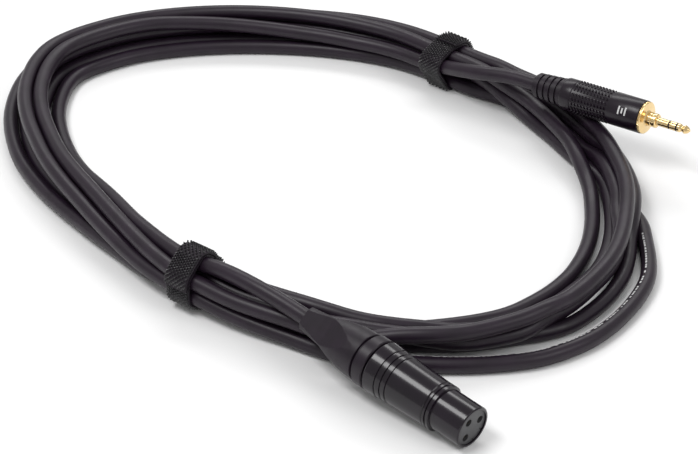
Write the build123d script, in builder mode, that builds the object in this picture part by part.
"""Coiled microphone cable with a female three-pin connector at one end and a 3.5 mm plug at the other.

The coil lies on the floor (z = 0), held by two hook-and-loop straps. Origin: on the floor under the
middle of the whole object. +X runs along the coil towards the 3.5 mm plug, +Y to the far side of the
coil, +Z up. All lengths are in millimetres.
"""
from build123d import *
from math import pi, tan
import os

os.makedirs("parts", exist_ok=True)

# ------------------------------------------------------------------ driving dimensions
CABLE_D = 6.2
CABLE_R = CABLE_D / 2
FIT = 0.05              # radial running clearance of a thread or a sliding piece
CABLE_GAP = 0.3         # radial room for the cable in a rubber boot

# Female connector: depth is measured from the mating face towards the cable.
XLR_FACE = Vector(46.4, -148.6, 8.0)
XLR_REAR = Vector(-10.3, -95.1, 16.5)
XLR_KEY = Vector(0.314, 0.468, -0.827)
NOSE_R = 7.95
NOSE_END = 13.0
BORE_R = 6.9            # bore of the shell, filled by the contact insert
THREAD_R = 7.6
THREAD_START = 35.0
SHELL_END = 43.3
RING_START = 44.1
RING_END = 48.9
RING_R = 9.8
INSERT_START = 0.6
INSERT_END = 22.0
CONTACT_R = 1.6
MOUTH_R = 1.45         # hole in the insert in front of each contact
CUP_R = 0.85            # solder cup
CONTACT_PLACES = [(1.35, 4.1), (1.35, -4.1), (-3.4, 0.0)]   # (towards the key, across)
CUP_END = 26.0
JACKET_END = 33.0       # where the outer jacket is stripped back
XLR_THREAD_TRAVEL = 4.5

LATCH_W = 4.0
LATCH_PIVOT_DEPTH = 31.0
LATCH_PIVOT_R = 6.2

# 3.5 mm plug: depth is measured from the tip towards the cable.
JACK_TIP = Vector(139.1, 26.5, 24.5)
JACK_REAR = Vector(81.2, 69.2, 22.0)
PLUG_R = 1.75
PLUG_LEN = 14.6
COLLAR_END = 19.6
FLANGE_END = 20.7
BARREL_START = 20.9
BARREL_R = 6.8
GRIP_START = 35.7
BARREL_END = 57.7
JACK_JACKET_END = 39.0
JACK_THREAD_TRAVEL = 3.75

WIRE_R = 0.6

# Coil: places along the middle of the bundle, each with half of its width.
COIL_HEIGHT = 18.6
COIL_EDGE = 3.5
COIL_PATH = [
    (42.9, 113.9, 10.5), (4.4, 137.2, 10.8), (-39.3, 144.3, 10.8), (-83.5, 138.8, 11.0),
    (-113.0, 120.0, 11.5), (-125.5, 81.0, 12.0), (-118.6, 39.2, 12.0), (-92.4, -9.9, 11.5),
    (-55.9, -56.0, 10.5), (-14.0, -81.0, 11.7), (22.5, -92.1, 13.9), (65.5, -86.6, 15.0),
    (98.0, -53.0, 16.5), (109.9, 5.5, 13.5), (103.0, 42.0, 12.5), (85.6, 74.6, 12.5),
]

# Straps: middle of each, and the way the bundle runs there.
STRAP_W = 11.0
STRAP_T = 1.2
NECK_W = 19.0
NECK_H = 17.4
NECK_CORNER = 7.0
BACK_STRAP = Vector(46.2, 111.0, 0)
BACK_STRAP_RUN = Vector(0.75, -0.66, 0)
SIDE_STRAP = Vector(-53.1, -58.4, 0)
SIDE_STRAP_RUN = Vector(0.766, -0.643, 0)

# Places where the two leads leave the coil.
XLR_LEAD_EXIT = Vector(-44.0, -63.3, 19.5)
JACK_LEAD_EXIT = Vector(46.6, 97.0, 14.6)

# ------------------------------------------------------------------ working frames
XLR_LEN = (XLR_REAR - XLR_FACE).length
JACK_LEN = (JACK_REAR - JACK_TIP).length
XLR = Plane(origin=XLR_FACE, x_dir=XLR_KEY, z_dir=XLR_REAR - XLR_FACE)
JACK = Plane(origin=JACK_TIP, x_dir=(0, 0, 1), z_dir=JACK_REAR - JACK_TIP)


def lengthwise(frame):
    """Plane through a connector's axis: local x is the radius, local y is the depth."""
    return Plane(origin=frame.origin, x_dir=frame.x_dir, z_dir=-frame.y_dir)


def at_depth(frame, depth):
    """Plane across a connector at the given depth."""
    return frame.offset(depth)


def place(frame, towards_key, across, depth):
    """Point given in a connector's own directions."""
    return frame.from_local_coords(Vector(towards_key, across, depth))


def turn(frame, outline, mode=Mode.ADD):
    """Revolve an outline of (radius, depth) corners about a connector's axis."""
    with BuildSketch(lengthwise(frame)) as profile:
        with BuildLine():
            Polyline(*outline, close=True)
        make_face()
    revolve(profile.sketch, axis=Axis(frame.origin, frame.z_dir), mode=mode)


def bar(frame, radii, depths, width, mode=Mode.ADD):
    """Straight block beside a connector's axis, on the key side."""
    with BuildSketch(lengthwise(frame)) as profile:
        with Locations(((radii[0] + radii[1]) / 2, (depths[0] + depths[1]) / 2)):
            Rectangle(radii[1] - radii[0], depths[1] - depths[0])
    extrude(profile.sketch, amount=width / 2, both=True, mode=mode)


def rod(frame, start, end, radius, mode=Mode.ADD):
    """Round rod along a connector's axis; start and end are (towards key, across, depth)."""
    with BuildSketch(at_depth(frame, start[2])) as profile:
        with Locations((start[0], start[1])):
            Circle(radius)
    extrude(profile.sketch, amount=end[2] - start[2], mode=mode)


def save(builder, label):
    builder.part.label = label
    export_step(builder.part, f"parts/{label}.step")
    return builder.part


# ------------------------------------------------------------------ female connector
def xlr_shell():
    with BuildPart() as shell:
        turn(XLR, [
            (BORE_R, 0), (NOSE_R - 0.4, 0), (NOSE_R, 0.4), (NOSE_R, NOSE_END), (8.85, NOSE_END + 0.3),
            (8.85, 14.3), (8.4, 14.5), (8.4, 14.9), (8.85, 15.1), (8.85, 16.0), (8.4, 16.2), (8.8, 16.7),
            (9.33, 32.5), (9.0, 32.7), (9.0, 33.2), (9.4, 33.4), (9.45, 34.8), (9.1, 35.0), (9.1, 35.5),
            (9.5, 35.7), (9.6, 37.3), (9.3, 37.5), (9.3, 38.0), (9.7, 38.2), (10.0, 42.8), (9.7, SHELL_END),
            (THREAD_R, SHELL_END), (THREAD_R, THREAD_START), (BORE_R, THREAD_START),
        ])
        bar(XLR, (6.0, 12.0), (3.2, 6.8), 4.8, mode=Mode.SUBTRACT)
        bar(XLR, (6.0, 12.0), (18.0, 33.0), 5.0, mode=Mode.SUBTRACT)
        with BuildSketch(lengthwise(XLR)) as pin_hole:
            with Locations((LATCH_PIVOT_R, LATCH_PIVOT_DEPTH)):
                Circle(0.6)
        extrude(pin_hole.sketch, amount=3.9, both=True, mode=Mode.SUBTRACT)
    return save(shell, "xlr_shell")


def xlr_insert():
    with BuildPart() as insert:
        turn(XLR, [(0, INSERT_START), (BORE_R, INSERT_START), (BORE_R, INSERT_END), (0, INSERT_END)])
        # Room for the latch behind a thin front wall, whose edges show as two narrow slits.
        bar(XLR, (3.9, 8.0), (2.6, INSERT_END + 1), 4.8, mode=Mode.SUBTRACT)
        with BuildSketch(at_depth(XLR, 0)) as slits:
            with Locations((5.9, 2.2), (5.9, -2.2)):
                Rectangle(1.7, 0.3)
        extrude(slits.sketch, amount=1.4, mode=Mode.SUBTRACT)
        for key_side, across in CONTACT_PLACES:
            rod(XLR, (key_side, across, 0), (key_side, across, 2.2), MOUTH_R, mode=Mode.SUBTRACT)
            rod(XLR, (key_side, across, 2.2), (key_side, across, 23.0), CONTACT_R, mode=Mode.SUBTRACT)
    return save(insert, "xlr_contact_insert")


def xlr_contact(number, key_side, across):
    with BuildPart() as contact:
        rod(XLR, (key_side, across, 2.2), (key_side, across, CUP_END), CONTACT_R)
        rod(XLR, (key_side, across, 2.2), (key_side, across, 16.0), 1.2, mode=Mode.SUBTRACT)
        rod(XLR, (key_side, across, 23.0), (key_side, across, CUP_END), CUP_R, mode=Mode.SUBTRACT)
    return save(contact, f"xlr_contact_{number}")


def xlr_latch():
    with BuildPart() as latch:
        bar(XLR, (5.4, 6.3), (3.8, 31.0), LATCH_W)
        bar(XLR, (6.3, 10.2), (19.5, 28.0), LATCH_W)
        bar(XLR, (6.3, 7.85), (4.0, 5.8), LATCH_W)
        with BuildSketch(lengthwise(XLR)) as eye:
            with Locations((LATCH_PIVOT_R, LATCH_PIVOT_DEPTH)):
                Circle(1.2)
        extrude(eye.sketch, amount=LATCH_W / 2, both=True)
        with BuildSketch(lengthwise(XLR)) as bore:
            with Locations((LATCH_PIVOT_R, LATCH_PIVOT_DEPTH)):
                Circle(0.6 + FIT)
        extrude(bore.sketch, amount=LATCH_W, both=True, mode=Mode.SUBTRACT)
    return save(latch, "xlr_latch_lever")


def xlr_latch_pin():
    with BuildPart() as pin:
        with BuildSketch(lengthwise(XLR)) as profile:
            with Locations((LATCH_PIVOT_R, LATCH_PIVOT_DEPTH)):
                Circle(0.6)
        extrude(profile.sketch, amount=3.9, both=True)
    return save(pin, "xlr_latch_pin")


def xlr_latch_spring():
    """Flat leaf under the lever, behind the insert."""
    with BuildPart() as leaf:
        bar(XLR, (5.1, 5.4), (12.0, 29.0), 2.6)
    return save(leaf, "xlr_latch_spring")


def xlr_chuck():
    """Slotted collet that grips the jacket."""
    with BuildPart() as chuck:
        turn(XLR, [
            (CABLE_R + FIT, 33.2), (BORE_R - FIT, 33.2), (BORE_R - FIT, 34.8), (5.5, 34.8), (5.5, 46.0),
            (CABLE_R + FIT, 46.0),
        ])
        for turned in (0, 90):
            slot = XLR.rotated((0, 0, turned))
            bar(slot, (-8.0, 8.0), (38.0, 47.0), 0.9, mode=Mode.SUBTRACT)
    return save(chuck, "xlr_cable_chuck")


def xlr_bushing():
    with BuildPart() as bushing:
        turn(XLR, [
            (5.5 + FIT, 36.0), (THREAD_R - FIT, 36.0), (THREAD_R - FIT, RING_START), (RING_R - 0.4, RING_START),
            (RING_R, RING_START + 0.4), (RING_R, RING_END - 0.4), (RING_R - 0.4, RING_END), (5.5 + FIT, RING_END),
        ])
    return save(bushing, "xlr_bushing")


def xlr_boot():
    """Tapered rubber boot with a belt of shallow flats."""
    bore = CABLE_R + CABLE_GAP
    with BuildPart() as boot:
        turn(XLR, [
            (bore, RING_END), (9.3, RING_END), (9.2, 55.0), (8.6, XLR_LEN - 15.0), (6.9, XLR_LEN - 7.0),
            (5.6, XLR_LEN - 0.6), (5.2, XLR_LEN), (bore, XLR_LEN),
        ])
    return save(boot, "xlr_boot")


def xlr_wire(number, key_side, across):
    """Core or drain wire from the stripped cable end to one solder cup."""
    start = place(XLR, key_side * 0.42, across * 0.42, JACKET_END)
    end = place(XLR, key_side, across, 24.8)
    with BuildPart() as wire:
        with BuildLine() as route:
            Spline(start, end, tangents=[-XLR.z_dir, -XLR.z_dir])
        with BuildSketch(Plane(origin=start, z_dir=-XLR.z_dir)) as section:
            Circle(WIRE_R)
        sweep(section.sketch, path=route.line)
    return save(wire, f"xlr_wire_{number}")


# ------------------------------------------------------------------ 3.5 mm plug
def jack_tip():
    with BuildPart() as tip:
        turn(JACK, [
            (0, 0), (0.4, 0.05), (1.2, 0.8), (PLUG_R, 2.0), (PLUG_R, 2.3), (1.2, 3.2), (1.2, 3.5), (PLUG_R, 4.4),
            (PLUG_R, 5.3), (0.5, 5.3), (0.5, 30.0), (0, 30.0),
        ])
    return save(tip, "jack_tip_contact")


def jack_tip_insulator():
    with BuildPart() as insulator:
        turn(JACK, [(0.5, 5.3), (PLUG_R, 5.3), (PLUG_R, 6.0), (0.75, 6.0), (0.75, 28.5), (0.5, 28.5)])
    return save(insulator, "jack_tip_insulator")


def jack_ring():
    with BuildPart() as ring:
        turn(JACK, [(0.75, 6.0), (PLUG_R, 6.0), (PLUG_R, 8.7), (1.05, 8.7), (1.05, 27.0), (0.75, 27.0)])
    return save(ring, "jack_ring_contact")


def jack_ring_insulator():
    with BuildPart() as insulator:
        turn(JACK, [(1.05, 8.7), (PLUG_R, 8.7), (PLUG_R, 9.4), (1.3, 9.4), (1.3, 25.5), (1.05, 25.5)])
    return save(insulator, "jack_ring_insulator")


def jack_sleeve():
    """Earth contact with the collar, the round flange and the thread for the barrel."""
    with BuildPart() as sleeve:
        turn(JACK, [
            (1.3, 9.4), (PLUG_R, 9.4), (PLUG_R, PLUG_LEN), (2.9, PLUG_LEN + 0.2), (2.9, COLLAR_END),
            (6.6, COLLAR_END), (6.6, FLANGE_END), (5.85, FLANGE_END), (5.85, 25.5), (1.3, 25.5),
        ])
    return save(sleeve, "jack_sleeve_contact")


def jack_clamp():
    """Strip from the sleeve to a ring crimped round the jacket."""
    with BuildPart() as clamp:
        with BuildSketch(at_depth(JACK, 40.0)) as band:
            Circle(CABLE_R + 0.6)
            Circle(CABLE_R, mode=Mode.SUBTRACT)
        extrude(band.sketch, amount=6.0)
        bar(JACK, (CABLE_R + 0.1, CABLE_R + 0.6), (25.5, 41.0), 2.4)
    return save(clamp, "jack_cable_clamp")


def jack_liner():
    """Thin insulating tube inside the barrel."""
    with BuildPart() as liner:
        turn(JACK, [(5.0, 29.5), (5.85, 29.5), (5.85, 52.0), (5.0, 52.0)])
    return save(liner, "jack_liner")


def jack_barrel():
    bore = 5.85 + FIT
    with BuildPart() as barrel:
        turn(JACK, [
            (bore, BARREL_START), (BARREL_R - 0.2, BARREL_START), (BARREL_R, BARREL_START + 0.2),
            (BARREL_R, GRIP_START - 0.3), (6.4, GRIP_START), (6.4, 52.6), (6.7, 52.9), (6.7, BARREL_END - 0.3),
            (6.4, BARREL_END), (5.0, BARREL_END), (5.0, 53.0), (bore, 53.0),
        ])
        for row in range(5):
            depth = GRIP_START + 2.2 + row * 3.2
            with BuildSketch(at_depth(JACK, depth)) as pips:
                with PolarLocations(6.4, 14, start_angle=13 * (row % 2)):
                    Rectangle(0.6, 1.5)
            extrude(pips.sketch, amount=1.6)
    return save(barrel, "jack_barrel")


def jack_boot():
    """Rubber boot with five ribs, held in the rear of the barrel."""
    bore = CABLE_R + CABLE_GAP
    first = BARREL_END
    pitch = (JACK_LEN - first) / 5
    outline = [(bore, 53.4), (5.0, 53.4), (5.0, first)]
    for rib in range(5):
        top = 6.0 - 0.2 * rib
        outline.append((top, first + rib * pitch + 0.01))
        outline.append((top, first + rib * pitch + pitch * 0.62))
        outline.append((top - 0.8, first + rib * pitch + pitch * 0.70))
        outline.append((top - 0.8, first + rib * pitch + pitch * 0.98))
    outline.append((bore, first + 5 * pitch * 0.996))
    with BuildPart() as boot:
        turn(JACK, outline)
    return save(boot, "jack_boot")


def jack_wire(name, start_place, end_place):
    start = place(JACK, *start_place)
    end = place(JACK, *end_place)
    with BuildPart() as wire:
        with BuildLine() as route:
            Spline(start, end, tangents=[-JACK.z_dir, -JACK.z_dir])
        with BuildSketch(Plane(origin=start, z_dir=-JACK.z_dir)) as section:
            Circle(0.45)
        sweep(section.sketch, path=route.line)
    return save(wire, f"jack_wire_{name}")


# ------------------------------------------------------------------ cable and straps
def lead(label, points):
    """Cable of straight runs joined by the largest arcs that the runs leave room for."""
    runs = [(b - a).length for a, b in zip(points, points[1:])]
    radii = []
    for before, after, a, b, c in zip(runs, runs[1:], points, points[1:], points[2:]):
        half_turn = (b - a).get_angle(c - b) / 2 * pi / 180
        radii.append(0.45 * min(before, after) / tan(half_turn))
    with BuildPart() as cable:
        with BuildLine() as route:
            FilletPolyline(*points, radius=radii)
        with BuildSketch(Plane(origin=points[0], z_dir=points[1] - points[0])) as section:
            Circle(CABLE_R)
        sweep(section.sketch, path=route.line)
    length = sum(edge.length for edge in route.line.edges())
    expected = pi * CABLE_R**2 * length
    print(label, "length", round(length, 1), "radii", [round(r) for r in radii],
          "volume / section x length", round(cable.part.volume / expected, 4))
    return save(cable, label)


def coil_outline(side):
    """Closed curve beside the middle of the bundle: side is +1 outside, -1 inside."""
    edge = []
    count = len(COIL_PATH)
    for i in range(count):
        x, y, half_width = COIL_PATH[i]
        before = COIL_PATH[i - 1]
        after = COIL_PATH[(i + 1) % count]
        run = Vector(after[0] - before[0], after[1] - before[1], 0).normalized()
        outward = run.cross(Vector(0, 0, 1))
        edge.append((x + side * half_width * outward.X, y + side * half_width * outward.Y))
    return edge


def upright(middle, run):
    """Plane across a run of the cable, with local y up."""
    return Plane(origin=middle, x_dir=Vector(0, 0, 1).cross(run), z_dir=run)


def corridor(start, end, radius):
    """Clear a round way through the piece being made."""
    run = end - start
    with BuildSketch(Plane(origin=start, z_dir=run)) as profile:
        Circle(radius)
    extrude(profile.sketch, amount=run.length, mode=Mode.SUBTRACT)


def neck(grow=0.0, mode=Mode.ADD):
    """Section of the bundle inside a strap, drawn in the current sketch."""
    with Locations((0, STRAP_T + NECK_H / 2)):
        RectangleRounded(NECK_W + 2 * grow, NECK_H + 2 * grow, NECK_CORNER + grow, mode=mode)


def strap(label, frame, patch_from, patch_to):
    """Hook-and-loop strap whose free end lies back over its own outside."""
    with BuildPart() as band:
        with BuildSketch(frame) as ring:
            neck(STRAP_T)
            neck(mode=Mode.SUBTRACT)
        extrude(ring.sketch, amount=STRAP_W / 2, both=True)
        with BuildSketch(frame) as patch:
            neck(2 * STRAP_T)
            with Locations(((patch_from + patch_to) / 2, NECK_H)):
                Rectangle(patch_to - patch_from, 16.0, mode=Mode.INTERSECT)
            neck(STRAP_T, mode=Mode.SUBTRACT)
        extrude(patch.sketch, amount=STRAP_W / 2 - 0.5, both=True)
    return save(band, label)


def cable_coil():
    """Outer shape of the coiled turns, with a neck in each strap and room beside the connectors."""
    with BuildPart() as coil:
        with BuildSketch(Plane.XY) as footprint:
            with BuildLine():
                Spline(*coil_outline(1), periodic=True)
            make_face()
            with BuildLine():
                Spline(*coil_outline(-1), periodic=True)
            make_face(mode=Mode.SUBTRACT)
        extrude(footprint.sketch, amount=COIL_HEIGHT)
        chamfer(coil.faces().sort_by(Axis.Z)[-1].edges(), length=COIL_EDGE)
        # Ramp that carries the lead of the female connector up to the lead's end.
        with BuildSketch(upright(XLR_LEAD[0], XLR_LEAD[0] - XLR_LEAD[1])) as hump:
            Circle(CABLE_R)
            with Locations((0, -4)):
                Rectangle(CABLE_D, 8)
        extrude(hump.sketch, amount=14.0)
        for middle, run in ((BACK_STRAP, BACK_STRAP_RUN), (SIDE_STRAP, SIDE_STRAP_RUN)):
            frame = upright(middle, run)
            with BuildSketch(frame) as around:
                with Locations((0, 15)):
                    Rectangle(60, 50)
                neck(mode=Mode.SUBTRACT)
            extrude(around.sketch, amount=STRAP_W / 2, both=True, mode=Mode.SUBTRACT)
        # Ways for the two leads, from where they leave the turns to the connectors.
        for points in (XLR_LEAD, JACK_LEAD):
            for start, end in zip(points, points[1:]):
                corridor(start, end, CABLE_R + 0.6)
        # Room under the two connectors, including the way back that each thread needs.
        rod(XLR, (0, 0, 10.0), (0, 0, XLR_LEN - 16.0), RING_R + 0.8, mode=Mode.SUBTRACT)
        rod(XLR, (0, 0, XLR_LEN - 17.0), (0, 0, XLR_LEN + 6.0), 9.4, mode=Mode.SUBTRACT)
        rod(JACK, (0, 0, 10.0), (0, 0, JACK_LEN + 5.0), BARREL_R + 0.7, mode=Mode.SUBTRACT)
    return save(coil, "cable_coil")


XLR_LEAD = [
    XLR_LEAD_EXIT,
    place(XLR, 0, 0, XLR_LEN + 22.0),
    place(XLR, 0, 0, JACKET_END),
]
JACK_LEAD = [
    JACK_LEAD_EXIT,
    Vector(55.5, 86.0, 19.0),
    place(JACK, 0, 0, JACK_LEN + 8.0),
    place(JACK, 0, 0, JACK_JACKET_END),
]


def main():
    xlr_shell()
    xlr_insert()
    for number, (key_side, across) in enumerate(CONTACT_PLACES, start=1):
        xlr_contact(number, key_side, across)
        xlr_wire(number, key_side, across)
    xlr_latch()
    xlr_latch_pin()
    xlr_latch_spring()
    xlr_chuck()
    xlr_bushing()
    xlr_boot()
    jack_tip()
    jack_tip_insulator()
    jack_ring()
    jack_ring_insulator()
    jack_sleeve()
    jack_clamp()
    jack_liner()
    jack_barrel()
    jack_boot()
    jack_wire("tip", (0.0, 0.9, JACK_JACKET_END), (0.0, 0.0, 30.0))
    jack_wire("ring", (-1.2, -0.6, JACK_JACKET_END), (-1.6, 0.0, 26.2))
    jack_wire("shield", (1.6, 0.0, JACK_JACKET_END), (2.6, 0.0, 30.0))
    lead("cable_xlr_lead", XLR_LEAD)
    lead("cable_jack_lead", JACK_LEAD)
    cable_coil()
    strap("strap_back", upright(BACK_STRAP, BACK_STRAP_RUN), -9.0, 5.0)
    strap("strap_side", upright(SIDE_STRAP, SIDE_STRAP_RUN), -4.0, 8.0)


main()
